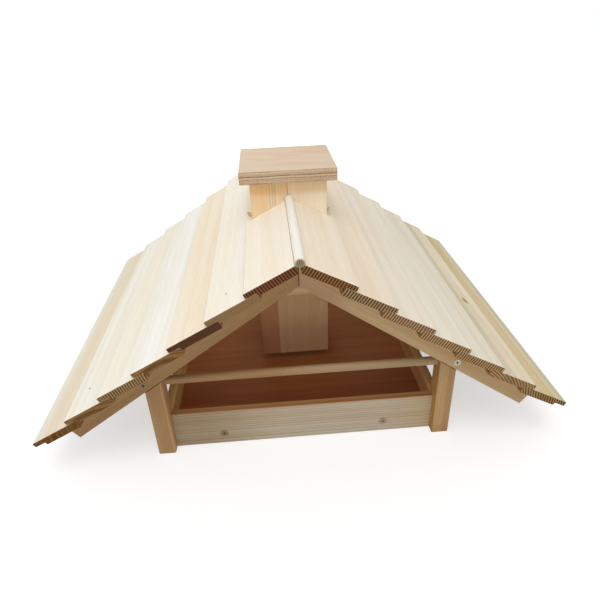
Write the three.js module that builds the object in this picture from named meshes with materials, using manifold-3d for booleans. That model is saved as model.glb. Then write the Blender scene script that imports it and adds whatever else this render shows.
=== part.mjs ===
import * as THREE from "three";
import { mergeVertices } from "three/addons/utils/BufferGeometryUtils.js";
import Module from "manifold-3d";

// A small wooden feeding house: a tray on four posts, a lapped board roof,
// a seed hopper that rises through the roof as a chimney, and a lift-off cap.
// Sizes in millimetres: x to the right, y to the back, z up, feet at z = 0.

// shared clearances
const fit = 0.3;
const ease = 0.8;
const weld = 0.0005;

// body
const batten = 20;
const bodyWidth = 352;
const bodyDepth = 400;
const trayHeight = 50;
const trayThickness = 10;
const floorTop = 20;
const floorThickness = 9;
const perchDiameter = 10;

// roof
const roofAngle = THREE.MathUtils.degToRad(34.65);
const apexUnderside = 216;
const rafterDepth = 25;
const rafterOverhang = 85;
const gussetThickness = 8;
const gussetSide = 6.5;
const gussetDrop = 21;
const boardsPerSide = 7;
const boardThickness = 9;
const boardLap = 12.5;
const lipThickness = 5.5;
const ridgeTrim = 4;
const sideOverhang = 120;
const endOverhang = 32;
const ridgeDowelDiameter = 10;
const ridgeDowelShort = 38;
const dowelEase = 1;

// hopper and cap
const hopperThickness = 9;
const stripBesideHopper = 8.2;
const chimneyRise = 33;
const seedSlot = 6;
const notchLength = 24;
const notchSplay = 18;
const capOverhang = 11.5;
const capThickness = 15;
const capBlockHeight = 12;
const capBlockPlay = 1;

// screws
const screwHead = 8;
const screwShank = 3.6;
const screwHeadHeight = 2.6;
const screwProud = 0.3;
const screwBite = 16;
const recessWidth = 1;
const recessSpan = 4.4;
const recessDepth = 1.4;
const screwSpacing = 194;
const rafterScrewDrop = 16.5;
const roundSides = 48;

// derived sizes
const half = 0.5;
const outerX = bodyWidth * half;
const outerY = bodyDepth * half;
const innerX = outerX - batten;
const innerY = outerY - batten;
const slope = Math.tan(roofAngle);
const apexTop = apexUnderside + rafterDepth / Math.cos(roofAngle);
const rafterReach = outerX + rafterOverhang;
const roofEndY = outerY + endOverhang;
const roofHalfWidth = outerX + sideOverhang;

// roof frame: (s, n) runs down the slope from the apex and out of the roof
const roofPoint = (side, s, n) => [
  side * (s * Math.cos(roofAngle) + n * Math.sin(roofAngle)),
  apexTop - s * Math.sin(roofAngle) + n * Math.cos(roofAngle),
];

// roof boards: (u, v) runs across a board and through it, each board tilts to lie on the next
function boardLayout() {
  const start = fit - ridgeTrim;
  let pitch = roofHalfWidth / Math.cos(roofAngle) / boardsPerSide;
  let tilt = 0;
  let width = pitch + boardLap;
  const last = boardsPerSide - 1;
  for (let round = 0; round < roundSides; round += 1) {
    tilt = Math.asin((lipThickness + fit) / pitch);
    width = pitch * Math.cos(tilt) + boardLap;
    const s = start + last * pitch + width * Math.cos(tilt) - boardThickness * Math.sin(tilt);
    const n = fit + width * Math.sin(tilt) + boardThickness * Math.cos(tilt);
    const reach = s * Math.cos(roofAngle) + n * Math.sin(roofAngle);
    pitch += (roofHalfWidth - reach) / (boardsPerSide * Math.cos(roofAngle));
  }
  return { start, pitch, tilt, width };
}
const layout = boardLayout();

function boardPoint(side, row, u, v) {
  const s = layout.start + row * layout.pitch + u * Math.cos(layout.tilt) - v * Math.sin(layout.tilt);
  const n = fit + u * Math.sin(layout.tilt) + v * Math.cos(layout.tilt);
  return roofPoint(side, s, n);
}

// the hopper comes up inside the lip of the ridge boards
const hopperHalf = boardPoint(1, 0, layout.width, boardThickness)[0] - stripBesideHopper;
const hopperInner = hopperHalf - hopperThickness;
const hopperTop = apexTop + chimneyRise;
const capReach = hopperHalf + capOverhang;

const wasm = await Module();
wasm.setup();

const material = (name, color, roughness, metalness) =>
  new THREE.MeshStandardMaterial({ name, color, roughness, metalness });
const pine = material("planed pine", 0xe3c79c, 0.62, 0);
const shingle = material("pine roof board", 0xeedcb9, 0.66, 0);
const dowelWood = material("beech dowel", 0xe9d6b3, 0.55, 0);
const plywood = material("plywood", 0xc99a6b, 0.7, 0);
const steel = material("zinc plated steel", 0xc4c6c4, 0.35, 1);

const group = new THREE.Group();
group.name = "bird_table";

function addPart(name, geometry, look) {
  const mesh = new THREE.Mesh(geometry, look);
  mesh.name = name;
  group.add(mesh);
}

// outline helpers
const rectangle = (a0, a1, b0, b1) => [[a0, b0], [a1, b0], [a1, b1], [a0, b1]];

function turns(before, at, after) {
  return (at[0] - before[0]) * (after[1] - at[1]) - (at[1] - before[1]) * (after[0] - at[0]);
}

function towards(from, to, length) {
  const span = Math.hypot(to[0] - from[0], to[1] - from[1]);
  return from.map((value, i) => value + ((to[i] - value) * length) / span);
}

// takes the sharp outer corners off an outline that runs anticlockwise
function eased(outline) {
  return outline.flatMap((at, i) => {
    const before = outline.at(i - 1);
    const after = outline[(i + 1) % outline.length];
    if (turns(before, at, after) <= 0) return [at];
    return [towards(at, before, ease), towards(at, after, ease)];
  });
}

// x takes outlines in (y, z), y takes outlines in (x, z), z takes outlines in (x, y)
function prism(axis, outline, low, high) {
  const shape = new THREE.Shape(outline.map(([a, b]) => new THREE.Vector2(a, b)));
  const body = new THREE.ExtrudeGeometry(shape, { depth: high - low, bevelEnabled: false });
  if (axis === "z") return body.translate(0, 0, low);
  body.rotateX(Math.PI * half);
  if (axis === "y") return body.translate(0, high, 0);
  return body.rotateZ(Math.PI * half).translate(low, 0, 0);
}

// the same, with the edges round both end faces eased as well
function plate(outline, low, high) {
  const shape = new THREE.Shape(outline.map(([a, b]) => new THREE.Vector2(a, b)));
  const bevel = { bevelThickness: ease, bevelSize: ease, bevelOffset: -ease, bevelSegments: 1 };
  const depth = high - low - ease - ease;
  const body = new THREE.ExtrudeGeometry(shape, { depth, bevelEnabled: true, ...bevel });
  return body.rotateX(Math.PI * half).translate(0, high - ease, 0);
}

function rod(radius, low, high, farRadius = radius) {
  const body = new THREE.CylinderGeometry(farRadius, radius, high - low, roundSides);
  return body.translate(0, (high + low) * half, 0);
}

// a rod whose sharp end edges are taken off
function turned(radius, low, high) {
  const core = radius - dowelEase;
  const profile = [[0, low], [core, low], [radius, low + dowelEase]];
  profile.push([radius, high - dowelEase], [core, high], [0, high]);
  return new THREE.LatheGeometry(profile.map(([r, y]) => new THREE.Vector2(r, y)), roundSides);
}

// solid helpers
function solid(geometry) {
  const bare = geometry.clone();
  bare.deleteAttribute("normal");
  bare.deleteAttribute("uv");
  const { attributes, index } = mergeVertices(bare, weld);
  const mesh = { numProp: 3, vertProperties: attributes.position.array, triVerts: index.array };
  return new wasm.Manifold(new wasm.Mesh(mesh));
}

const fused = (geometries) => wasm.Manifold.union(geometries.map(solid));

function geometryOf(manifold) {
  const { numProp, vertProperties, triVerts } = manifold.getMesh();
  const geometry = new THREE.BufferGeometry();
  geometry.setAttribute("position", new THREE.BufferAttribute(vertProperties, numProp));
  return geometry.setIndex(new THREE.BufferAttribute(triVerts, 1));
}

const cut = (geometry, cutters) => geometryOf(solid(geometry).subtract(fused(cutters)));

// sides: left is -1, right is +1, front is -1, back is +1
const leftRight = [["left", -1], ["right", 1]];
const frontBack = [["front", -1], ["back", 1]];
const span = (sign, near, far) => (sign > 0 ? [near, far] : [-far, -near]);

// screws lie along y with the head towards the viewer, then turn to their side;
// tray screws run into the floor's edge, rafter screws into the ends of the purlins
const tray = { y: innerY + trayThickness, z: floorTop - floorThickness * half };
const purlin = {
  s: (outerX + rafterScrewDrop * Math.sin(roofAngle)) / Math.cos(roofAngle),
  n: -rafterScrewDrop,
};

function placed(geometry, x, faceY, z, sign) {
  if (sign > 0) geometry.rotateZ(Math.PI);
  return geometry.translate(x, sign * faceY, z);
}

function screwLength(boardThick) {
  return boardThick + screwBite;
}

function screwHole(x, faceY, z, sign, boardThick) {
  const shank = rod(screwShank * half + fit, -screwHeadHeight, screwLength(boardThick) + fit);
  const sink = screwHeadHeight - screwProud;
  const head = rod(screwHead * half + fit, -screwProud, sink, screwShank * half + fit);
  const mouth = rod(screwHead * half + fit, -screwHeadHeight, 0);
  return [shank, head, mouth].map((piece) => placed(piece, x, faceY, z, sign));
}

function screwGeometry(boardThick) {
  const tip = screwLength(boardThick) - screwShank;
  const head = rod(screwHead * half, -screwProud, screwHeadHeight - screwProud, screwShank * half);
  const shank = rod(screwShank * half, screwHeadHeight * half, tip);
  const point = rod(screwShank * half, tip - fit, tip + screwShank - fit, fit);
  const reach = recessDepth + recessDepth;
  const bar = new THREE.BoxGeometry(recessSpan, reach, recessWidth).translate(0, -screwProud, 0);
  const cross = bar.clone().rotateY(Math.PI * half);
  return geometryOf(fused([head, shank, point]).subtract(fused([bar, cross])));
}

// body: posts, tray boards, floor, perches
function addPosts() {
  for (const [end, ySign] of frontBack) {
    for (const [side, xSign] of leftRight) {
      const across = span(xSign, innerX, outerX);
      const deep = span(ySign, innerY, outerY);
      const body = prism("z", eased(rectangle(...across, ...deep)), 0, apexUnderside);
      const under = apexUnderside - fit / Math.cos(roofAngle);
      const far = outerX + batten;
      const wedge = [[0, under], [xSign * far, under - far * slope], [xSign * far, apexTop], [0, apexTop]];
      const cutter = prism("y", wedge, -bodyDepth, bodyDepth);
      addPart(`post_${end}_${side}`, cut(body, [cutter]), pine);
    }
  }
}

function addTrayBoards() {
  for (const [side, sign] of leftRight) {
    const outline = eased(rectangle(...span(sign, innerX, innerX + trayThickness), 0, trayHeight));
    addPart(`tray_board_${side}`, prism("y", outline, -innerY + fit, innerY - fit), pine);
  }
}

function addTrayEnds() {
  for (const [end, sign] of frontBack) {
    const outline = eased(rectangle(...span(sign, innerY, tray.y), 0, trayHeight));
    const board = prism("x", outline, -innerX + fit, innerX - fit);
    const holes = [-half, half].flatMap((k) =>
      screwHole(k * screwSpacing, tray.y, tray.z, sign, trayThickness));
    addPart(`tray_board_${end}`, cut(board, holes), pine);
  }
}

function addFloor() {
  const reachX = innerX - fit;
  const reachY = innerY - fit;
  const body = prism("z", rectangle(-reachX, reachX, -reachY, reachY), floorTop - floorThickness, floorTop);
  const holes = frontBack.flatMap(([, sign]) => [-half, half].flatMap((k) =>
    screwHole(k * screwSpacing, tray.y, tray.z, sign, trayThickness)));
  addPart("tray_floor", cut(body, holes), plywood);
}

function addPerches() {
  const radius = perchDiameter * half;
  const height = apexUnderside - innerX * slope - radius - fit;
  for (const [end, sign] of frontBack) {
    const body = rod(radius, -innerX + fit, innerX - fit).rotateZ(-Math.PI * half);
    addPart(`perch_${end}`, body.translate(0, sign * (outerY - batten * half), height), dowelWood);
  }
}

function addRafters() {
  const inner = fit * half;
  for (const [end, ySign] of frontBack) {
    for (const [side, xSign] of leftRight) {
      const tip = rafterReach + rafterDepth * Math.sin(roofAngle);
      const tipTop = apexUnderside - rafterReach * slope + rafterDepth * Math.cos(roofAngle);
      const outline = [
        [xSign * inner, apexUnderside - inner * slope],
        [xSign * rafterReach, apexUnderside - rafterReach * slope],
        [xSign * tip, tipTop],
        [xSign * inner, apexTop - inner * slope],
      ];
      const body = plate(outline, ...span(ySign, innerY, outerY));
      const [x, z] = roofPoint(xSign, purlin.s, purlin.n);
      addPart(`rafter_${end}_${side}`, cut(body, screwHole(x, outerY, z, ySign, batten)), pine);
    }
  }
}

function addPurlins() {
  for (const [side, sign] of leftRight) {
    const low = purlin.s - batten * half;
    const high = purlin.s + batten * half;
    const corners = [[low, -rafterDepth], [high, -rafterDepth], [high, 0], [low, 0]];
    const outline = corners.map(([s, n]) => roofPoint(sign, s, n));
    if (sign < 0) outline.reverse();
    const body = prism("y", eased(outline), -innerY + fit, innerY - fit);
    const [x, z] = roofPoint(sign, purlin.s, purlin.n);
    const holes = frontBack.flatMap(([, ySign]) => screwHole(x, outerY, z, ySign, batten));
    addPart(`purlin_${side}`, cut(body, holes), pine);
  }
}

function addGussets() {
  const bottom = apexUnderside - gussetDrop;
  const shoulder = bottom + gussetSide;
  const reach = (apexTop - shoulder) / slope;
  const outline = [[-reach, bottom], [reach, bottom], [reach, shoulder], [0, apexTop], [-reach, shoulder]];
  for (const [end, sign] of frontBack) {
    const near = innerY - fit - gussetThickness;
    addPart(`apex_gusset_${end}`, plate(outline, ...span(sign, near, innerY - fit)), plywood);
  }
}

function boardOutline(side, row) {
  const top = row === 0 ? ridgeTrim : 0;
  const step = layout.width - boardLap - fit;
  const under = boardThickness - lipThickness;
  const corners = [
    [top, 0], [step, 0], [step, under], [layout.width, under],
    [layout.width, boardThickness], [top, boardThickness],
  ];
  const outline = corners.map(([u, v]) => boardPoint(side, row, u, v));
  return side > 0 ? outline : outline.reverse();
}

function hopperCutter(clearance) {
  const reach = hopperHalf + clearance;
  return prism("z", rectangle(-reach, reach, -reach, reach), 0, hopperTop);
}

// slants the front end of a rear ridge board, so the notch beside the hopper widens to the lip
function notchCutter(side, start) {
  const lip = hopperHalf + stripBesideHopper;
  const outline = [
    [side * hopperHalf, -hopperHalf],
    [side * (lip + stripBesideHopper), -hopperHalf],
    [side * (lip + stripBesideHopper), start + notchSplay + notchSplay],
    [side * hopperHalf, start],
  ];
  return prism("z", outline, 0, hopperTop);
}

function addRidgeBoards() {
  const frontEnd = -hopperHalf - fit;
  const rearStart = frontEnd + notchLength;
  for (const [side, sign] of leftRight) {
    const outline = eased(boardOutline(sign, 0));
    addPart(`roof_board_${side}_1_front`, prism("y", outline, -roofEndY, frontEnd), shingle);
    const rear = prism("y", outline, rearStart, roofEndY);
    const cutters = [hopperCutter(fit), notchCutter(sign, rearStart)];
    addPart(`roof_board_${side}_1_back`, cut(rear, cutters), shingle);
  }
}

function addRoofBoards() {
  for (const [side, sign] of leftRight) {
    for (let row = 1; row < boardsPerSide; row += 1) {
      const board = prism("y", eased(boardOutline(sign, row)), -roofEndY, roofEndY);
      const innerEdge = Math.abs(boardPoint(sign, row, 0, 0)[0]);
      const body = innerEdge > hopperHalf + fit ? board : cut(board, [hopperCutter(fit)]);
      addPart(`roof_board_${side}_${row + 1}`, body, shingle);
    }
  }
}

function addRidgeDowels() {
  const lean = roofAngle - layout.tilt;
  const [x, z] = boardPoint(1, 0, ridgeTrim, 0);
  const radius = ridgeDowelDiameter * half;
  const height = z - x / Math.tan(lean) + (radius + fit) / Math.sin(lean);
  const reach = { front: roofEndY, back: roofEndY - ridgeDowelShort };
  for (const [end, sign] of frontBack) {
    const body = turned(radius, ...span(sign, hopperHalf + fit, reach[end]));
    addPart(`ridge_dowel_${end}`, body.translate(0, 0, height), dowelWood);
  }
}

// hopper and cap
function addHopper() {
  for (const [end, sign] of frontBack) {
    const outline = eased(rectangle(-hopperHalf, hopperHalf, ...span(sign, hopperInner, hopperHalf)));
    addPart(`hopper_board_${end}`, prism("z", outline, floorTop + seedSlot, hopperTop), pine);
  }
  const reach = hopperInner - fit;
  for (const [side, sign] of leftRight) {
    const outline = rectangle(...span(sign, hopperInner, hopperHalf), -reach, reach);
    addPart(`hopper_board_${side}`, prism("z", outline, floorTop + fit, hopperTop), pine);
  }
}

function addCap() {
  const under = hopperTop + fit;
  const blockReach = hopperInner - capBlockPlay;
  const plate = rectangle(-capReach, capReach, -capReach, capReach);
  const block = eased(rectangle(-blockReach, blockReach, -blockReach, blockReach));
  addPart("cap_plate", prism("z", plate, under, under + capThickness), plywood);
  addPart("cap_block", prism("z", block, under - fit - capBlockHeight, under - fit), pine);
}

function addScrews() {
  for (const [end, ySign] of frontBack) {
    for (const [side, xSign] of leftRight) {
      const trayX = xSign * screwSpacing * half;
      const trayScrew = placed(screwGeometry(trayThickness), trayX, tray.y, tray.z, ySign);
      addPart(`tray_screw_${end}_${side}`, trayScrew, steel);
      const [x, z] = roofPoint(xSign, purlin.s, purlin.n);
      addPart(`rafter_screw_${end}_${side}`, placed(screwGeometry(batten), x, outerY, z, ySign), steel);
    }
  }
}

addPosts();
addTrayBoards();
addTrayEnds();
addFloor();
addPerches();
addRafters();
addPurlins();
addGussets();
addRidgeBoards();
addRoofBoards();
addRidgeDowels();
addHopper();
addCap();
addScrews();

export default group;
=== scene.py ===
import math

import bmesh
import bpy
from mathutils import Matrix, Vector


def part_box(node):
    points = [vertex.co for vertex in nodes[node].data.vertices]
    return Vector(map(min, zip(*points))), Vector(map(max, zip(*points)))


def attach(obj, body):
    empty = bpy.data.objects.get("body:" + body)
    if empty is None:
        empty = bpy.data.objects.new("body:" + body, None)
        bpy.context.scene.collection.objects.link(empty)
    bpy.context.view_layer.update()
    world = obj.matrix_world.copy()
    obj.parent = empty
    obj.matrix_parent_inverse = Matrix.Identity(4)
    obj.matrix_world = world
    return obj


# A small pine feeding house under its lapped board roof, seen from in front and above.
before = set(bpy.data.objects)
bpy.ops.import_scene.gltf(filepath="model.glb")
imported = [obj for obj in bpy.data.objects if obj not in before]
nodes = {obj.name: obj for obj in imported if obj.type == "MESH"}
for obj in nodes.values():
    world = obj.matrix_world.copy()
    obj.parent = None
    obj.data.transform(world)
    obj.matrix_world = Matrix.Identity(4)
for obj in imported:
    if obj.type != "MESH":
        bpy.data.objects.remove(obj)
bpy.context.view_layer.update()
print("frame loaded:", len(nodes), "pieces")

mm = 0.001
left, right = -1, 1


def toLinear(hexColour):
    # "#RRGGBB" as sRGB to the linear colour that a shader wants
    channels = [int(hexColour[i:i + 2], 16) / 255 for i in (1, 3, 5)]
    return [c / 12.92 if c <= 0.04045 else ((c + 0.055) / 1.055) ** 2.4 for c in channels] + [1]


def addNode(tree, kind, inputs=None, **settings):
    # one shader node: its settings, then a value or another node's output for each input
    node = tree.nodes.new(kind)
    for name, value in settings.items():
        setattr(node, name, value)
    for name, value in (inputs or {}).items():
        if isinstance(value, bpy.types.NodeSocket):
            tree.links.new(value, node.inputs[name])
        else:
            node.inputs[name].default_value = value
    return node.outputs


# camera
camera = {
    "place": (-24.4, -651, 460.3),  # mm
    "lookDown": 29.93, "turnRight": 3.14, "lean": -2.25,  # degrees
    "lens": 30.57, "sensor": 36,  # mm
    "clipStart": 50,  # mm
}


def addCamera():
    data = bpy.data.cameras.new("camera")
    data.lens = camera["lens"]
    data.sensor_width = camera["sensor"]
    data.clip_start = camera["clipStart"] * mm
    made = bpy.data.objects.new("camera", data)
    turn = Matrix.Rotation(math.radians(-camera["turnRight"]), 4, "Z")
    tip = Matrix.Rotation(math.radians(90 - camera["lookDown"]), 4, "X")
    roll = Matrix.Rotation(math.radians(camera["lean"]), 4, "Z")
    made.matrix_world = Matrix.Translation(Vector(camera["place"]) * mm) @ turn @ tip @ roll
    bpy.context.collection.objects.link(made)
    bpy.context.scene.camera = made


# studio
studio = {
    # places and sizes in metres, power in watts
    "key": {"place": (-0.1, -1.15, 2.2), "size": 1.2, "power": 17.5, "colour": "#FFFFFF"},
    "front": {"place": (0.1, -2.3, 0.8), "size": 0.9, "power": 4, "colour": "#FFFFFF"},
    "back": {"place": (-0.3, 2.3, 0.8), "size": 0.9, "power": 7, "colour": "#FFFFFF"},
    "window": {"place": (-1.5, -0.4, 0.95), "size": 1.2, "power": 3, "colour": "#FFFFFF"},
    "aim": (0, 0, 0.12),  # the lamps all look here
    "roomLight": (0.46, 0.7),  # walls, ceiling
    "floorWidth": 9,
    "floorColour": "#C4C4C4",
    "shadowArea": (0.35, 1.1),  # metres from the middle: shadow shows within, beyond it the paper is white
    "floorLift": 0.54,  # what the lit paper lacks to white within the shadow's area
}


def addLamp(name):
    lamp = studio[name]
    data = bpy.data.lights.new(name, "AREA")
    data.shape = "DISK"
    data.size = lamp["size"]
    data.energy = lamp["power"]
    data.color = toLinear(lamp["colour"])[:3]
    made = bpy.data.objects.new(name, data)
    made.location = lamp["place"]
    made.rotation_euler = (Vector(studio["aim"]) - made.location).to_track_quat("-Z", "Y").to_euler()
    bpy.context.collection.objects.link(made)


def seenDirectly(tree):
    # 1 for the camera, and for what polished metal shows of the room
    path = addNode(tree, "ShaderNodeLightPath")
    either = addNode(tree, "ShaderNodeMath", {0: path["Is Camera Ray"], 1: path["Is Glossy Ray"]},
                     operation="MAXIMUM")
    through = addNode(tree, "ShaderNodeMath", {0: either[0], 1: path["Is Transmission Ray"]},
                      operation="MAXIMUM")
    return through[0]


def addRoom():
    world = bpy.data.worlds.new("room")
    world.use_nodes = True
    bpy.context.scene.world = world
    tree = world.node_tree
    tree.nodes.clear()
    walls, ceiling = studio["roomLight"]
    space = addNode(tree, "ShaderNodeTexCoord")
    direction = addNode(tree, "ShaderNodeSeparateXYZ", {0: space["Generated"]})
    plain = addNode(tree, "ShaderNodeMapRange", {0: direction["Z"], 3: walls, 4: ceiling})
    strength = addNode(tree, "ShaderNodeMapRange", {0: seenDirectly(tree), 3: plain[0], 4: 1})
    light = addNode(tree, "ShaderNodeBackground", {"Color": (1, 1, 1, 1), "Strength": strength[0]})
    addNode(tree, "ShaderNodeOutputWorld", {"Surface": light[0]})


def addFloor():
    half = studio["floorWidth"] / 2
    mesh = bpy.data.meshes.new("paper_floor")
    mesh.from_pydata([(-half, -half, 0), (half, -half, 0), (half, half, 0), (-half, half, 0)], [],
                     [(0, 1, 2, 3)])
    floor = bpy.data.objects.new("paper_floor", mesh)
    bpy.context.collection.objects.link(floor)
    material = bpy.data.materials.new("matt studio paper")  # even and white, with a soft shadow on it
    material.use_nodes = True
    tree = material.node_tree
    tree.nodes.clear()
    paper = addNode(tree, "ShaderNodeBsdfDiffuse", {"Color": toLinear(studio["floorColour"])})
    near, far = studio["shadowArea"]
    space = addNode(tree, "ShaderNodeTexCoord")
    distance = addNode(tree, "ShaderNodeVectorMath", {0: space["Object"]}, operation="LENGTH")["Value"]
    missing = addNode(tree, "ShaderNodeMapRange", {0: distance, 1: near, 2: far,
                                                   3: studio["floorLift"], 4: 1})
    lift = addNode(tree, "ShaderNodeMath", {0: seenDirectly(tree), 1: missing[0]}, operation="MULTIPLY")
    glow = addNode(tree, "ShaderNodeEmission", {"Strength": lift[0]})
    both = addNode(tree, "ShaderNodeAddShader", {0: paper[0], 1: glow[0]})
    addNode(tree, "ShaderNodeOutputMaterial", {"Surface": both[0]})
    mesh.materials.append(material)


# Solid wood is cut from a log drawn in space: rings stand round a heart line that runs along
# the grain, so faces get lines or flames and sawn ends get stripes or arcs, as real boards do.
plainWood = {
    "kind": "planed pine",
    "heart": (70, 10),  # mm from the middle of the piece to the heart, across it and through it
    "seed": 0, "seedStep": 370,  # mm along the grain for each seed, so that no two pieces are alike
    "ring": 2.2,  # mm between year rings
    "ringDrift": 2.5, "driftLength": 14,  # how many rings the spacing strays by, and over how many mm
    "wave": 2.5, "waveLength": (45, 190),  # mm that the grain wanders, over so many across and along
    "sap": "#F0DDBD",  # the pale ground of the wood
    "lateTint": "#D9A873", "lateShare": 0.5,  # the dark line of a ring
    "lateStart": (0.3, 0.85), "lateEnd": (0.9, 1),  # parts of a year in which it comes on and goes
    "streakTint": "#EBD3B4", "streakShare": 0.5, "streakSpread": (0.42, 0.62),  # soft bands along the grain
    "streakWidth": 9, "streakLength": 420,  # mm across and along the grain
    "fibre": (0.6, 30),  # mm across and along
    "fibreSpread": (0.3, 0.7), "fibreTone": (0.94, 1.03),  # darkest and lightest
    "edgeTint": "#FFFFFF",  # narrow edges, ripped and rougher than the planed faces; on the roof boards also painted shade
    "endTint": "#B98E62", "endLateTint": "#6E4222", "endShare": 0.9,  # sawn ends drink in the light
    "combShare": 0.5,  # how much of each ring is pale on a sawn end
    "edgeFacing": (0.6, 0.8), "endFacing": (0.55, 0.85),  # how squarely a face has to look along the axis
    "knots": [],  # (mm across, mm along, mm radius) from the middle of the piece
    "knotTint": "#8A5A38", "knotCore": 0.4,  # part of its radius that is darkest
    "knotShape": (1, 0.1, 0.45),  # it goes through the board, and is drawn out along the grain
    "knotReach": 5, "knotPush": 2.4,  # times its radius that rings bend round it, and by how many rings
    # (mm across to a glue joint, tint of the strip before it above and below, darkness of the joint)
    "strips": [],
    "jointTint": "#A98660", "jointWidth": (0.3, 0.7),  # mm to each side where it is dark and where it ends
    "jointsFrom": -9999,  # mm along the piece: above it joints show, below they don't
    "bands": [],  # (mm across to its middle, half its width, tint): broad stripes of other wood
    "bandFade": (0.5, 1.4),  # times half its width where a band starts to fade and where it ends
    # tinted parts, soaked or of other wood, and painted shade: (0 across, 1 through or 2 along, mm where
    # clear, mm where full, tint)
    "shades": [],
    "shadesOnEdges": 1,  # 0 keeps the ripped edges clear of the shades
    "hollows": [],  # (mm across, through and along, mm radius, tint): painted shade of the hollow round a screw
    "hollowFade": (0.8, 1.1),  # times the radius where the painted shade starts to fade and where it ends
    "roughness": 0.62, "lateRoughness": (0.03, -0.07),  # added on the pale and on the dark part of a ring
    "sheen": 0.35, "relief": 0.12, "reliefStrength": 0.35,  # relief in mm
}


def tinted(tree, share, under, tint):
    # a glaze of the tint, a colour or another node's output, over the colour below it
    glaze = toLinear(tint) if isinstance(tint, str) else tint
    mixed = addNode(tree, "ShaderNodeMix", {0: share, 6: under, 7: glaze},
                    data_type="RGBA", blend_type="MULTIPLY")
    return mixed[2]


def stretched(tree, place, crossways, lengthways):
    # a place in the log, scaled so that noise drawn on it has blotches of so many mm
    scale = (1 / crossways, 1 / crossways, 1 / lengthways)
    return addNode(tree, "ShaderNodeVectorMath", {0: place, 1: scale}, operation="MULTIPLY")[0]


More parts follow.
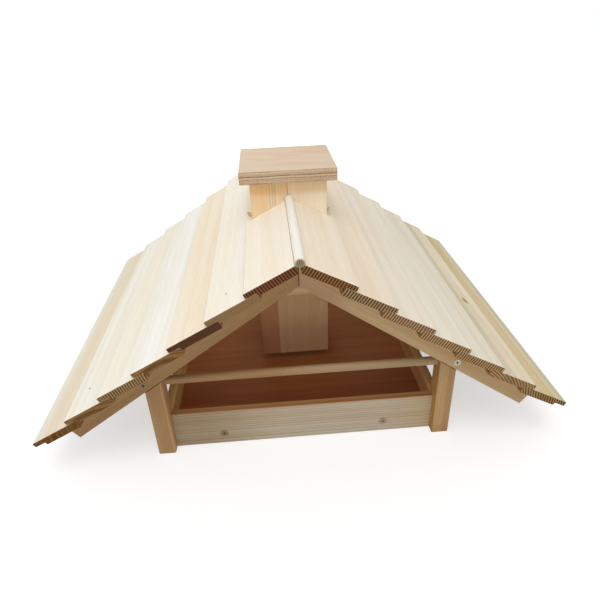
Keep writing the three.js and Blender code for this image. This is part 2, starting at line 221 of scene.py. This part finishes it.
def woodMaterial(name, look, middle, axes):
    # planed pine or spruce, dry and raw: matt, and faintly silky along the grain
    across, through, along = axes
    heartAcross, heartThrough = look["heart"]
    start = look["seed"] * look["seedStep"]
    material = bpy.data.materials.new(name)
    material.use_nodes = True
    tree = material.node_tree
    tree.nodes.clear()
    heartLine = middle + (across * heartAcross + through * heartThrough - along * start) * mm
    space = addNode(tree, "ShaderNodeTexCoord")
    fromHeart = addNode(tree, "ShaderNodeVectorMath", {0: space["Object"], 1: heartLine},
                        operation="SUBTRACT")
    distances = {i: addNode(tree, "ShaderNodeVectorMath", {0: fromHeart[0], 1: axis / mm},
                            operation="DOT_PRODUCT")["Value"] for i, axis in enumerate(axes)}
    inLog = addNode(tree, "ShaderNodeCombineXYZ", distances)[0]

    # the grain wanders by a few mm along the log
    bendSpace = stretched(tree, inLog, *look["waveLength"])
    bend = addNode(tree, "ShaderNodeTexNoise", {"Vector": bendSpace, "Scale": 1, "Detail": 2})
    bent = addNode(tree, "ShaderNodeVectorMath", {0: bend["Color"], 1: [look["wave"] * 2] * 3, 2: inLog},
                   operation="MULTIPLY_ADD")
    crossways = addNode(tree, "ShaderNodeVectorMath", {0: bent[0], 1: (1, 1, 0)}, operation="MULTIPLY")
    radius = addNode(tree, "ShaderNodeVectorMath", {0: crossways[0]}, operation="LENGTH")["Value"]

    # rings counted from the heart, some years wider than others
    years = addNode(tree, "ShaderNodeTexNoise", {"W": radius, "Scale": 1 / look["driftLength"], "Detail": 1},
                    noise_dimensions="1D")
    strayed = addNode(tree, "ShaderNodeMath", {0: years[0], 1: look["ringDrift"]}, operation="MULTIPLY")
    count = addNode(tree, "ShaderNodeMath", {0: radius, 1: 1 / look["ring"], 2: strayed[0]},
                    operation="MULTIPLY_ADD")[0]
    knotDark = None
    for knotAcross, knotAlong, size in look["knots"]:
        knotPlace = (knotAcross - heartAcross, -heartThrough, knotAlong + start)
        offset = addNode(tree, "ShaderNodeVectorMath", {0: inLog, 1: knotPlace}, operation="SUBTRACT")
        shaped = addNode(tree, "ShaderNodeVectorMath", {0: offset[0], 1: look["knotShape"]},
                         operation="MULTIPLY")
        reach = addNode(tree, "ShaderNodeVectorMath", {0: shaped[0]}, operation="LENGTH")["Value"]
        push = addNode(tree, "ShaderNodeMapRange", {
            0: reach, 1: 0, 2: size * look["knotReach"], 3: look["knotPush"], 4: 0},
            interpolation_type="SMOOTHERSTEP")
        count = addNode(tree, "ShaderNodeMath", {0: count, 1: push[0]}, operation="ADD")[0]
        dark = addNode(tree, "ShaderNodeMapRange", {
            0: reach, 1: size * look["knotCore"], 2: size, 3: 1, 4: 0},
            interpolation_type="SMOOTHSTEP")[0]
        knotDark = dark if knotDark is None else addNode(
            tree, "ShaderNodeMath", {0: knotDark, 1: dark}, operation="MAXIMUM")[0]
    phase = addNode(tree, "ShaderNodeMath", {0: count}, operation="FRACT")
    begins, darkest = look["lateStart"]
    rise = addNode(tree, "ShaderNodeMapRange", {0: phase[0], 1: begins, 2: darkest, 3: 0, 4: 1},
                   interpolation_type="SMOOTHSTEP")
    fades, ends = look["lateEnd"]
    fall = addNode(tree, "ShaderNodeMapRange", {0: phase[0], 1: fades, 2: ends, 3: 1, 4: 0},
                   interpolation_type="SMOOTHSTEP")
    late = addNode(tree, "ShaderNodeMath", {0: rise[0], 1: fall[0]}, operation="MULTIPLY")
    comb = addNode(tree, "ShaderNodeMath", {0: phase[0], 1: look["combShare"]}, operation="GREATER_THAN")

    # where the saw cut across the grain
    facing = addNode(tree, "ShaderNodeVectorMath", {0: space["Normal"], 1: along}, operation="DOT_PRODUCT")
    squareOn = addNode(tree, "ShaderNodeMath", {0: facing["Value"]}, operation="ABSOLUTE")
    glancing, square = look["endFacing"]
    sawn = addNode(tree, "ShaderNodeMapRange", {0: squareOn[0], 1: glancing, 2: square, 3: 0, 4: 1})

    # soft bands, and fibres wider than real ones so that they show
    streakSpace = stretched(tree, inLog, look["streakWidth"], look["streakLength"])
    streak = addNode(tree, "ShaderNodeTexNoise", {"Vector": streakSpace, "Scale": 1, "Detail": 3})
    clear, full = look["streakSpread"]
    streakShare = addNode(tree, "ShaderNodeMapRange", {0: streak[0], 1: clear, 2: full,
                                                       3: 0, 4: look["streakShare"]})
    fibreSpace = stretched(tree, inLog, *look["fibre"])
    fibre = addNode(tree, "ShaderNodeTexNoise", {"Vector": fibreSpace, "Scale": 1, "Detail": 2})
    darkest, lightest = look["fibreTone"]
    low, high = look["fibreSpread"]
    fibreTone = addNode(tree, "ShaderNodeMapRange", {0: fibre[0], 1: low, 2: high,
                                                     3: darkest, 4: lightest})

    # the ground, its bands and ring lines, and what the saw made of them
    banded = tinted(tree, streakShare[0], toLinear(look["sap"]), look["streakTint"])
    lateFace = addNode(tree, "ShaderNodeMath", {0: late[0], 1: look["lateShare"]}, operation="MULTIPLY")
    lined = tinted(tree, lateFace[0], banded, look["lateTint"])
    lateEnd = addNode(tree, "ShaderNodeMath", {0: comb[0], 1: look["endShare"]}, operation="MULTIPLY")
    ended = tinted(tree, lateEnd[0], tinted(tree, 1.0, banded, look["endTint"]), look["endLateTint"])
    edgeOn = addNode(tree, "ShaderNodeVectorMath", {0: space["Normal"], 1: across}, operation="DOT_PRODUCT")
    edgeOnly = addNode(tree, "ShaderNodeMath", {0: edgeOn["Value"]}, operation="ABSOLUTE")
    glancing, square = look["edgeFacing"]
    ripped = addNode(tree, "ShaderNodeMapRange", {0: edgeOnly[0], 1: glancing, 2: square, 3: 0, 4: 1})
    edged = tinted(tree, ripped[0], lined, look["edgeTint"])
    planed = addNode(tree, "ShaderNodeMix", {0: sawn[0], 6: edged, 7: ended}, data_type="RGBA")
    colour = addNode(tree, "ShaderNodeVectorMath", {0: planed[2], "Scale": fibreTone[0]},
                     operation="SCALE")[0]
    if knotDark is not None:
        colour = tinted(tree, knotDark, colour, look["knotTint"])
    dark, clear = look["jointWidth"]
    for place, above, below, jointShare in look["strips"]:  # strips glued edge to edge into a panel
        past = addNode(tree, "ShaderNodeMath", {0: distances[0], 1: place - heartAcross},
                       operation="SUBTRACT")[0]
        before = addNode(tree, "ShaderNodeMath", {0: past, 1: 0}, operation="LESS_THAN")
        off = addNode(tree, "ShaderNodeMath", {0: past}, operation="ABSOLUTE")
        shown = addNode(tree, "ShaderNodeMath", {0: distances[2], 1: look["jointsFrom"] + start},
                        operation="GREATER_THAN")
        joint = addNode(tree, "ShaderNodeMapRange", {0: off[0], 1: dark, 2: clear, 3: jointShare, 4: 0})
        seen = addNode(tree, "ShaderNodeMath", {0: joint[0], 1: shown[0]}, operation="MULTIPLY")
        tint = addNode(tree, "ShaderNodeMix", {0: shown[0], 6: toLinear(below), 7: toLinear(above)},
                       data_type="RGBA")
        colour = tinted(tree, seen[0], tinted(tree, before[0], colour, tint[2]), look["jointTint"])
    wavy = addNode(tree, "ShaderNodeSeparateXYZ", {0: bent[0]})
    fades, ends = look["bandFade"]
    for centre, half, tint in look["bands"]:
        off = addNode(tree, "ShaderNodeMath", {0: wavy["X"], 1: centre - heartAcross + look["wave"]},
                      operation="SUBTRACT")
        away = addNode(tree, "ShaderNodeMath", {0: off[0]}, operation="ABSOLUTE")
        share = addNode(tree, "ShaderNodeMapRange", {
            0: away[0], 1: half * fades, 2: half * ends, 3: 1, 4: 0}, interpolation_type="SMOOTHSTEP")
        colour = tinted(tree, share[0], colour, tint)
    shift = (-heartAcross, -heartThrough, start)
    reach = addNode(tree, "ShaderNodeMapRange", {0: ripped[0], 3: 1, 4: look["shadesOnEdges"]})
    for axis, clear, full, tint in look["shades"]:
        share = addNode(tree, "ShaderNodeMapRange", {
            0: distances[axis], 1: clear + shift[axis], 2: full + shift[axis], 3: 0, 4: reach[0]},
            interpolation_type="SMOOTHSTEP")
        colour = tinted(tree, share[0], colour, tint)

    fades, ends = look["hollowFade"]
    for hollowAcross, hollowThrough, hollowAlong, size, tint in look["hollows"]:
        hollow = (hollowAcross - heartAcross, hollowThrough - heartThrough, hollowAlong + start)
        away = addNode(tree, "ShaderNodeVectorMath", {0: inLog, 1: hollow}, operation="DISTANCE")["Value"]
        share = addNode(tree, "ShaderNodeMapRange", {
            0: away, 1: size * fades, 2: size * ends, 3: 1, 4: 0}, interpolation_type="SMOOTHSTEP")
        colour = tinted(tree, share[0], colour, tint)

    onPale, onDark = look["lateRoughness"]
    gloss = addNode(tree, "ShaderNodeMapRange", {0: late[0], 3: look["roughness"] + onPale,
                                                 4: look["roughness"] + onDark})
    relief = addNode(tree, "ShaderNodeMath", {0: fibre[0], 1: late[0]}, operation="ADD")
    bump = addNode(tree, "ShaderNodeBump", {
        "Height": relief[0], "Strength": look["reliefStrength"], "Distance": look["relief"] * mm})
    shader = addNode(tree, "ShaderNodeBsdfPrincipled", {
        "Base Color": colour, "Roughness": gloss[0], "Normal": bump[0],
        "IOR": 1.5, "Specular IOR Level": look["sheen"]})
    addNode(tree, "ShaderNodeOutputMaterial", {"Surface": shader[0]})
    return material


# Plywood: the same log, peeled round and round into a veneer, over a stack of crossed plies
plainPly = {
    **plainWood,
    "kind": "sanded plywood",
    "heart": (6, -38), "ring": 5, "ringDrift": 4, "wave": 9,
    "sap": "#DDBA92", "lateTint": "#C58B62", "lateShare": 0.45,
    "plies": 5, "plyThickness": 3,  # mm
    "longPly": "#E2C093", "shortPly": "#B98C62", "glue": "#5A3E2A",  # plies by turns, glue between
    "seams": [],  # (mm above the lower face, darkness) of each glue line; none given: one on each ply
    "seamWidth": (0.25, 0.75),  # mm to each side where it is dark and where it ends
    "wander": 1,  # mm that the glue lines wander
    "wanderScale": 30, "gapScale": 25, "poreScale": 900,  # noise blotches per metre
    "gapSpread": (0.4, 0.56), "gapShare": 0.4,  # how dark a glue line is in its gaps
    "gapStep": 1.7,  # moves the gaps from one glue line to the next
    "poreSpread": (0.45, 0.7), "poreShare": 0.5,  # dark pores on the cut plies
    "veneerFacing": (0.5, 0.8),  # how squarely a face has to look through the plate
    "roughness": 0.68,
}


def plywoodMaterial(name, look, middle, axes):
    # sanded plywood: a matt veneer with broad flames, and striped edges with dark glue lines
    across, through, along = axes
    material = woodMaterial(name, look, middle, axes)
    tree = material.node_tree
    shader = next(n for n in tree.nodes if n.type == "BSDF_PRINCIPLED")
    veneer = shader.inputs["Base Color"].links[0].from_socket
    space = addNode(tree, "ShaderNodeTexCoord")
    height = addNode(tree, "ShaderNodeVectorMath", {0: space["Object"], 1: through / mm},
                     operation="DOT_PRODUCT")
    lowest = middle.dot(through) / mm - look["plies"] * look["plyThickness"] / 2
    fromFace = addNode(tree, "ShaderNodeMath", {0: height["Value"], 1: lowest}, operation="SUBTRACT")
    wander = addNode(tree, "ShaderNodeTexNoise", {
        "Vector": space["Object"], "Scale": look["wanderScale"], "Detail": 1})
    astray = addNode(tree, "ShaderNodeMapRange", {0: wander[0], 3: -look["wander"], 4: look["wander"]})
    wavy = addNode(tree, "ShaderNodeMath", {0: astray[0], 1: fromFace[0]}, operation="ADD")
    ply = addNode(tree, "ShaderNodeMath", {0: wavy[0], 1: look["plyThickness"]}, operation="DIVIDE")
    half = addNode(tree, "ShaderNodeMath", {0: ply[0], 1: 2}, operation="DIVIDE")
    halfPhase = addNode(tree, "ShaderNodeMath", {0: half[0]}, operation="FRACT")
    short = addNode(tree, "ShaderNodeMath", {0: halfPhase[0], 1: 0.5}, operation="GREATER_THAN")
    edge = addNode(tree, "ShaderNodeMix", {0: short[0], 6: toLinear(look["longPly"]),
                                           7: toLinear(look["shortPly"])}, data_type="RGBA")
    pores = addNode(tree, "ShaderNodeTexNoise", {
        "Vector": space["Object"], "Scale": look["poreScale"], "Detail": 1})
    clear, full = look["poreSpread"]
    poreShare = addNode(tree, "ShaderNodeMapRange", {0: pores[0], 1: clear, 2: full,
                                                     3: 0, 4: look["poreShare"]})
    glued = tinted(tree, poreShare[0], edge[2], look["shortPly"])
    dark, ends = look["seamWidth"]
    gap, whole = look["gapSpread"]
    seams = look["seams"] or [(k * look["plyThickness"], 1) for k in range(look["plies"] + 1)]
    for level, darkness in seams:  # glue lines, broken here and there
        off = addNode(tree, "ShaderNodeMath", {0: wavy[0], 1: level}, operation="SUBTRACT")
        away = addNode(tree, "ShaderNodeMath", {0: off[0]}, operation="ABSOLUTE")
        line = addNode(tree, "ShaderNodeMapRange", {0: away[0], 1: dark, 2: ends, 3: 1, 4: 0})
        gaps = addNode(tree, "ShaderNodeTexNoise", {
            "Vector": space["Object"], "W": level * look["gapStep"],
            "Scale": look["gapScale"], "Detail": 2}, noise_dimensions="4D")
        shown = addNode(tree, "ShaderNodeMapRange", {0: gaps[0], 1: gap, 2: whole,
                                                     3: darkness * look["gapShare"], 4: darkness})
        share = addNode(tree, "ShaderNodeMath", {0: line[0], 1: shown[0]}, operation="MULTIPLY")
        glued = tinted(tree, share[0], glued, look["glue"])
    facing = addNode(tree, "ShaderNodeVectorMath", {0: space["Normal"], 1: through},
                     operation="DOT_PRODUCT")
    flatOn = addNode(tree, "ShaderNodeMath", {0: facing["Value"]}, operation="ABSOLUTE")
    glancing, square = look["veneerFacing"]
    onFace = addNode(tree, "ShaderNodeMapRange", {0: flatOn[0], 1: glancing, 2: square, 3: 0, 4: 1})
    surface = addNode(tree, "ShaderNodeMix", {0: onFace[0], 6: glued, 7: veneer}, data_type="RGBA")
    tree.links.new(surface[2], shader.inputs["Base Color"])
    return material


def middleOf(*names):
    corners = [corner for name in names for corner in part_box(name)]
    low = Vector(min(c[i] for c in corners) for i in range(3))
    high = Vector(max(c[i] for c in corners) for i in range(3))
    return (low + high) / 2


def dress(names, material):
    for name in names:
        mesh = nodes[name].data
        mesh.materials.clear()
        mesh.materials.append(material)


def dressWood(names, look, axes, make=woodMaterial, middle=None):
    # one material for these pieces; the axes run across, through and along the grain
    full = {**(plainPly if make is plywoodMaterial else plainWood), **look}
    dress(names, make(f"{full['kind']} {names[0]}", full, middle or middleOf(*names), axes))


xAxis, yAxis, zAxis = Vector((1, 0, 0)), Vector((0, 1, 0)), Vector((0, 0, 1))
sides = {"left": left, "right": right}

# roof boards, sawn along y; across runs down the slope and through points up out of the roof
boardSlope = math.radians(27.82)
# the heart lies beside the board: rings stand upright in it and draw lines on its face; they are
# 3 mm apart, a little wide, so that the sawn ends show their comb of stripes
# their dark edge tint is partly ripped wood and partly painted shade, for the shaded gaps between the laps
quarter = {"heart": (-95, 8), "ring": 3, "ringDrift": 0.4, "wave": 1, "lateShare": 0.06,
           "edgeTint": "#A88460", "streakShare": 0.3, "sheen": 0.15,
           "endTint": "#CBAA82", "endLateTint": "#684610"}
# the heart lies under the board: rings lie flat in it and draw flames
# its dark edge tint is likewise partly painted shade
plainSawn = {"heart": (10, -70), "ring": 4.5, "ringDrift": 4, "wave": 3, "lateShare": 0.08,
             "edgeTint": "#A88460", "streakShare": 0.35, "sheen": 0.15,
             "endTint": "#977141", "endLateTint": "#8A6440", "endShare": 0.6}
roofBoards = {
    "left": [
        {**quarter, "sap": "#F9F1E0", "streakTint": "#F7EBD3",
         "endTint": "#8C5A3A", "endLateTint": "#461C04"},
        {**quarter, "sap": "#F9F3E5", "streakTint": "#FAF0DE", "endTint": "#9A7C58", "endShare": 0.2},
        {**quarter, "sap": "#F8ECD6", "streakTint": "#F5E2C8", "endTint": "#5C3A24", "endShare": 0.3},
        {**plainSawn, "sap": "#F9F7EF", "bands": [(-13, 6, "#FDF7EE")], "streakTint": "#F4ECDA"},
        {**quarter, "sap": "#F6F4E9", "heart": (-120, -20), "streakTint": "#F4EAD6",
         "bands": [(18, 14, "#FFFDF6")], "endTint": "#B4956B"},
        {**plainSawn, "sap": "#F6F3E7", "streakTint": "#F2E6CF"},
        {**plainSawn, "heart": (-60, -20), "sap": "#EDECDF", "bands": [(6, 16, "#FDF0E2")],
         "streakTint": "#F6EEE0", "streakWidth": 14, "endTint": "#89622C"},
    ],
    "right": [
        {**quarter, "sap": "#FAEED9", "streakTint": "#F1DFC2",
         "endTint": "#9A7449", "endLateTint": "#5F3404"},
        {**quarter, "sap": "#F7E9D3", "streakTint": "#F1DFC4",
         "endTint": "#B39D7F", "endLateTint": "#46301F"},
        {**quarter, "sap": "#F3EAD8", "streakTint": "#EEDFC6", "endTint": "#C8A888"},
        {**quarter, "sap": "#F2ECDA", "streakTint": "#F0E6D2"},
        {**quarter, "sap": "#EFE7D4", "streakTint": "#E7DAC2"},
        {**quarter, "heart": (-40, -60), "sap": "#EFE4CE", "knots": [(9, -58, 5)], "knotTint": "#C4A878",
         "streakTint": "#E9DAB6", "streakShare": 0.5, "streakWidth": 16,
         "endTint": "#CEAF8D", "endShare": 0.75, "bands": [(-3, 8, "#E9E8DE")]},
        {**quarter, "heart": (-90, -50), "sap": "#EBE0C5", "streakTint": "#F0E2C0", "streakShare": 0.5,
         "streakWidth": 15, "endTint": "#C6AD8C",
         "bands": [(5, 13, "#ECE2C8")], "shades": [(0, 17, 24, "#E6ECF1")]},
    ],
}


def dressRoof():
    for side, sign in sides.items():
        down = Vector((sign * math.cos(boardSlope), 0, -math.sin(boardSlope)))
        out = Vector((sign * math.sin(boardSlope), 0, math.cos(boardSlope)))
        for row, look in enumerate(roofBoards[side]):
            stem = f"roof_board_{side}_{row + 1}"
            names = [stem] if row else [stem + "_front", stem + "_back"]
            look = {**look, "seed": row + (8 if side == "right" else 0)}
            dressWood(names, look, (down, out, yAxis))
            if not row:  # the rear ridge boards are cut slantwise beside the chimney; their edges get a paler tint, less painted edge shade
                lessShadedEdges = {**look, "edgeTint": "#D9C9A6"}
                dressWood(names[1:], lessShadedEdges, (down, out, yAxis), middle=middleOf(*names))


# battens, posts, rafters and purlins: the warmer, yellower wood under the roof
batten = {"sap": "#B59169", "lateTint": "#D0A880", "lateShare": 0.3,
          "streakTint": "#E2CBA8", "ring": 2.4, "heart": (60, 22), "wave": 2}
# the right posts are yellow sapwood towards the tray and brown outside, and darker at the foot
# their side face towards the tray is tinted darker and more orange: painted shade
twoTonedAndShaded = {"sap": "#D0B286", "shades": [(0, 0, 4, "#E6DACC"), (2, -30, -70, "#E8DACA"),
                                         (0, -8, -10, "#F3E3BC")]}
# the left posts' side towards the tray is painted light: lighter than their front, which is tinted down
paintedLightInside = {"sap": "#D2A97B", "shades": [(2, -62, -76, "#E6C6AE"), (0, -9.9, -7, "#E1E5E1")]}
# the right rafters are yellow, and browner near the ridge; the left ones are brown all over
brownAtRidge = {"sap": "#D8B98D", "lateShare": 0.1, "shades": [(2, -85, -125, "#F0E7EA")]}
brown = {"sap": "#B38F62"}
rafterSlope = math.radians(34.65)
gusset = {"sap": "#E2C59D", "plies": 5, "plyThickness": 1.6}


def dressFrame():
    seed = 20
    for end in ("front", "back"):
        for side, sign in sides.items():
            seed += 1
            toned = twoTonedAndShaded if side == "right" else paintedLightInside
            dressWood([f"post_{end}_{side}"], {**batten, **toned, "seed": seed},
                      (xAxis * sign, yAxis, zAxis))
            slope = Vector((sign * math.cos(rafterSlope), 0, -math.sin(rafterSlope)))
            rise = Vector((sign * math.sin(rafterSlope), 0, math.cos(rafterSlope)))
            toned = brownAtRidge if side == "right" else brown
            dressWood([f"rafter_{end}_{side}"], {**batten, **toned, "seed": seed + 10},
                      (rise, yAxis, slope))
        dressWood([f"apex_gusset_{end}"], {**gusset, "seed": 57}, (zAxis, yAxis, xAxis), plywoodMaterial)
    for side in sides:
        seed += 1
        dressWood([f"purlin_{side}"], {**batten, "seed": seed}, (xAxis, zAxis, yAxis))


# the tray: four planed boards round a plywood floor
tray = {"sap": "#CCBFAA", "lateTint": "#D2C2A4", "lateShare": 0.5, "edgeTint": "#D9AC7D",
        "ring": 3.2, "ringDrift": 2, "wave": 1.5, "heart": (90, -25),
        "hollow": (5.6, "#DCDAD0")}  # mm radius and tint of the painted shade in the hollow round a sunk screw
# the tray's front is darker towards its left end, painted shade, and a little warmer at its right end
paintedShadeLeft = {"shades": [(2, -20, -130, "#DBD3C3"), (2, 90, 150, "#FDF3E0")], "shadesOnEdges": 0}
warm = {**tray, "sap": "#E2B47C", "lateShare": 0.3, "edgeTint": "#FFFFFF"}  # the side boards
# the floor is darker towards the front and towards the right: painted shade
trayFloor = {"sap": "#E49D62", "lateTint": "#D8AA8C", "lateShare": 0.12, "streakTint": "#DCB89A",
             "streakShare": 0.25, "shades": [(0, 0, -150, "#C6B3B2"), (2, -130, -20, "#E6E2DC")],
             "plies": 5, "plyThickness": 1.8, "roughness": 0.8, "sheen": 0.25}


def hollowsOf(end):
    # where the two screws were sunk into the outer face of a tray board
    low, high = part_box(f"tray_board_{end}")
    faceDepth = (high[1] - low[1]) / mm / 2
    middle = middleOf(f"tray_board_{end}")
    places = [(middleOf(f"tray_screw_{end}_{side}") - middle) / mm for side in sides]
    return [(place.z, faceDepth, place.x, *tray["hollow"]) for place in places]


def dressTray():
    dressWood(["tray_board_front"], {**tray, **paintedShadeLeft, "seed": 41, "hollows": hollowsOf("front")},
              (zAxis, -yAxis, xAxis))
    dressWood(["tray_board_back"], {**tray, "seed": 42, "hollows": hollowsOf("back")},
              (zAxis, yAxis, xAxis))
    # the left side board is lighter than the right one: painted light on its inner face
    dressWood(["tray_board_left"], {**warm, "sap": "#FBD389", "seed": 43}, (zAxis, -xAxis, yAxis))
    dressWood(["tray_board_right"], {**warm, "seed": 44}, (zAxis, xAxis, yAxis))
    dressWood(["tray_floor"], {**trayFloor, "seed": 45}, (yAxis, zAxis, xAxis), plywoodMaterial)


# hopper boards, which come out above the roof as the chimney
hopper = {
    "sap": "#F6EAD2", "heart": (-84, 12), "ring": 2.6,
    "lateTint": "#DDB47C", "lateShare": 0.06, "streakTint": "#F2E0C0", "streakShare": 0.25,
    "roofLevel": 222,  # mm above the feet
    "jointsShow": -15,  # mm above the roof: from here up the glue joints show
    # mm below the roof: painted shade inside the house, browner and darker further down
    "inside": [(0, -19, "#F8D9B4"), (-110, -192, "#E0D6DF")],
    "capShadow": (-20, -14, "#FFF1DC"),  # mm below the top: painted shadow of the cap, yellower and darker
    # warm wood at the left, three dark year lines, and a glue joint at the middle; a red strip inside
    "panel": [(-25, "#FFF7EE", "#FFFFFF", 0), (-23.4, "#FFFFFF", "#FFFFFF", 0.3),
              (-21.8, "#FFFFFF", "#E1C6BE", 0), (-19.9, "#FFFFFF", "#FFFFFF", 0.35),
              (-16.9, "#FFFFFF", "#FFFFFF", 0.4), (-1.5, "#FAEEDC", "#FFFFFF", 0.6)],
}


def dressHopper():
    level = hopper["roofLevel"] - middleOf("hopper_board_front").z / mm
    shades = [(2, level + clear, level + full, tint) for clear, full, tint in hopper["inside"]]
    top = (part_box("hopper_board_front")[1][2] - middleOf("hopper_board_front").z) / mm
    clear, full, tint = hopper["capShadow"]
    shades.append((2, top + clear, top + full, tint))
    board = {**hopper, "shades": shades, "jointsFrom": level + hopper["jointsShow"]}
    dressWood(["hopper_board_front"], {**board, "strips": hopper["panel"], "seed": 51},
              (xAxis, -yAxis, zAxis))
    dressWood(["hopper_board_back"], {**board, "seed": 52}, (xAxis, yAxis, zAxis))
    dressWood(["hopper_board_left"], {**board, "seed": 53}, (yAxis, -xAxis, zAxis))
    dressWood(["hopper_board_right"], {**board, "seed": 54}, (yAxis, xAxis, zAxis))


# the cap: a plate of plywood with faint flames and uneven glue lines, and a block of wood under it
cap = {"sap": "#DBC4AA", "lateTint": "#EADACA", "lateShare": 0.1, "streakTint": "#F2E2D2",
       "streakShare": 0.45, "streakWidth": 16, "streakLength": 70, "sheen": 0.25,
       "plies": 5, "plyThickness": 3, "longPly": "#DCC5A6", "shortPly": "#CEAE8E",
       "glue": "#3A2A20", "wander": 1.6,
       "seams": [(14.5, 0.4), (12, 0.1), (9, 0.75), (6, 0.45), (2.8, 0.2), (1.6, 0.4), (0.5, 0.7)]}


def dressCap():
    dressWood(["cap_plate"], {**cap, "seed": 55}, (yAxis, zAxis, xAxis), plywoodMaterial)
    dressWood(["cap_block"], {**hopper, "seed": 56}, (yAxis, zAxis, xAxis))


# turned rods: pale, close-grained and smooth
rod = {"kind": "turned beech", "sap": "#F9F6EE", "lateTint": "#EFE3CB", "lateShare": 0.15,
       "ring": 1.8, "heart": (25, 8), "endTint": "#A89A78", "endShare": 0.6, "roughness": 0.5}
# the perches are browner towards one end; painted light and shade make them paler below and darker above
perch = {"sap": "#CFB38C", "lateTint": "#C8A078", "shades": [(2, 40, -60, "#EED8BE"),
                                                             (1, -3.6, -1.2, "#DCDCDA")]}


def dressRods():
    for seed, end in enumerate(("front", "back")):
        dressWood([f"ridge_dowel_{end}"], {**rod, "seed": 60 + seed}, (xAxis, zAxis, yAxis))
        dressWood([f"perch_{end}"], {**rod, **perch, "seed": 62 + seed}, (yAxis, zAxis, xAxis))


# screws
screws = {
    "rafter": {"left": {"colour": "#82735A", "roughness": 0.55, "recess": "#2A1C0C"},  # darker: painted shade, in shadow under the roof board
               "right": {"colour": "#B6B3A2", "roughness": 0.35, "recess": "#0E0C08"}},  # bright
    "tray": {"left": {"colour": "#8B7D5F", "roughness": 0.5, "recess": "#645336"},  # darker than the right one: painted shade
             "right": {"colour": "#A39379", "roughness": 0.5, "recess": "#6B5639"}},
    "scratch": 0.4, "blur": (-0.08, 0.12),  # mm, drawn coarse so that it shows; roughness it adds
    "recessDepth": (0.05, 0.3),  # mm below the head's face where the painted shade of the recess starts and is full
}


nails = {
    "colour": "#8E8C84", "roughness": 0.45, "recess": "#4A4036",  # painted shade round the foot of the head
    "profile": [(1.15, -0.1), (1.25, 0.12), (1.0, 0.28)],  # mm from the axis, mm above the board
    "sides": 20, "boardThickness": 9,
    "places": [("left", 2, 74.1, 197.4), ("left", 6, 237.7, 190.5)],  # board, mm from the ridge, mm along it
}


def nailHead(name, foot, out):
    # the profile turned round the nail's axis, closed below and above
    mesh = bmesh.new()
    turn = Matrix.Translation(foot) @ out.to_track_quat("Z", "Y").to_matrix().to_4x4()
    rings = []
    for radius, height in nails["profile"]:
        angles = [2 * math.pi * i / nails["sides"] for i in range(nails["sides"])]
        ring = [Vector((radius * math.cos(a), radius * math.sin(a), height)) * mm for a in angles]
        rings.append([mesh.verts.new(turn @ point) for point in ring])
    for below, above in zip(rings, rings[1:]):
        for i in range(nails["sides"]):
            j = (i + 1) % nails["sides"]
            mesh.faces.new((below[i], below[j], above[j], above[i]))
    mesh.faces.new(rings[0][::-1])
    mesh.faces.new(rings[-1])
    data = bpy.data.meshes.new(name)
    mesh.to_mesh(data)
    mesh.free()
    piece = bpy.data.objects.new(name, data)
    bpy.context.collection.objects.link(piece)
    return piece


def steelMaterial(name, look, face, outward):
    # zinc plated steel: a cool shine with a faint brushed blur, and painted shade in the cross recess
    material = bpy.data.materials.new(name)
    material.use_nodes = True
    tree = material.node_tree
    tree.nodes.clear()
    space = addNode(tree, "ShaderNodeTexCoord")
    scratch = addNode(tree, "ShaderNodeTexNoise", {"Vector": space["Object"],
                                                   "Scale": 1 / (screws["scratch"] * mm)})
    smoothest, roughest = screws["blur"]
    blur = addNode(tree, "ShaderNodeMapRange", {0: scratch[0], 3: look["roughness"] + smoothest,
                                                4: look["roughness"] + roughest})
    height = addNode(tree, "ShaderNodeVectorMath", {0: space["Object"], 1: -outward / mm},
                     operation="DOT_PRODUCT")
    near, far = screws["recessDepth"]
    start = -face.dot(outward) / mm
    paintedShade = addNode(tree, "ShaderNodeMapRange", {0: height["Value"], 1: start + near, 2: start + far})
    tone = addNode(tree, "ShaderNodeMix", {0: paintedShade[0], 6: toLinear(look["colour"]),
                                           7: toLinear(look["recess"])}, data_type="RGBA")
    shader = addNode(tree, "ShaderNodeBsdfPrincipled", {
        "Base Color": tone[2], "Roughness": blur[0], "Metallic": 1.0})
    addNode(tree, "ShaderNodeOutputMaterial", {"Surface": shader[0]})
    return material


def addNails():
    # round wire nails: each head stands a little proud of its roof board
    for side, row, across, along in nails["places"]:
        low, high = (Vector(corner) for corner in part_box(f"roof_board_{side}_{row}"))
        sign = sides[side]
        out = Vector((sign * math.sin(boardSlope), 0, math.cos(boardSlope)))
        # the top of the board has fallen by so much from its upper edge to the nail
        upperEdge = low.x if sign > 0 else high.x
        upperEdge += sign * nails["boardThickness"] * mm * math.sin(boardSlope)
        drop = (across * mm - abs(upperEdge)) * math.tan(boardSlope)
        for end, way in (("front", -1), ("back", 1)):
            foot = Vector((sign * across * mm, way * along * mm, high.z - drop))
            piece = nailHead(f"nail_{end}_{side}_{row}", foot, out)
            face = foot + out * nails["profile"][-1][1] * mm
            piece.data.materials.append(steelMaterial("galvanised " + piece.name, nails, face, out))
            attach(piece, "house")


def dressScrews():
    for kind in ("rafter", "tray"):
        for end, outward, corner in (("front", -yAxis, 0), ("back", yAxis, 1)):
            for side in sides:
                name = f"{kind}_screw_{end}_{side}"
                face = Vector(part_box(name)[corner])
                dress([name], steelMaterial("zinc plated steel " + name, screws[kind][side], face, outward))


addCamera()
for lampName in ("key", "front", "back", "window"):
    addLamp(lampName)
addRoom()
addFloor()
print("camera, lights and floor made")
dressRoof()
dressFrame()
dressTray()
dressHopper()
dressCap()
dressRods()
dressScrews()
addNails()
print("wood and steel put on every piece, nails driven in")

bpy.context.scene.view_settings.view_transform = "Standard"
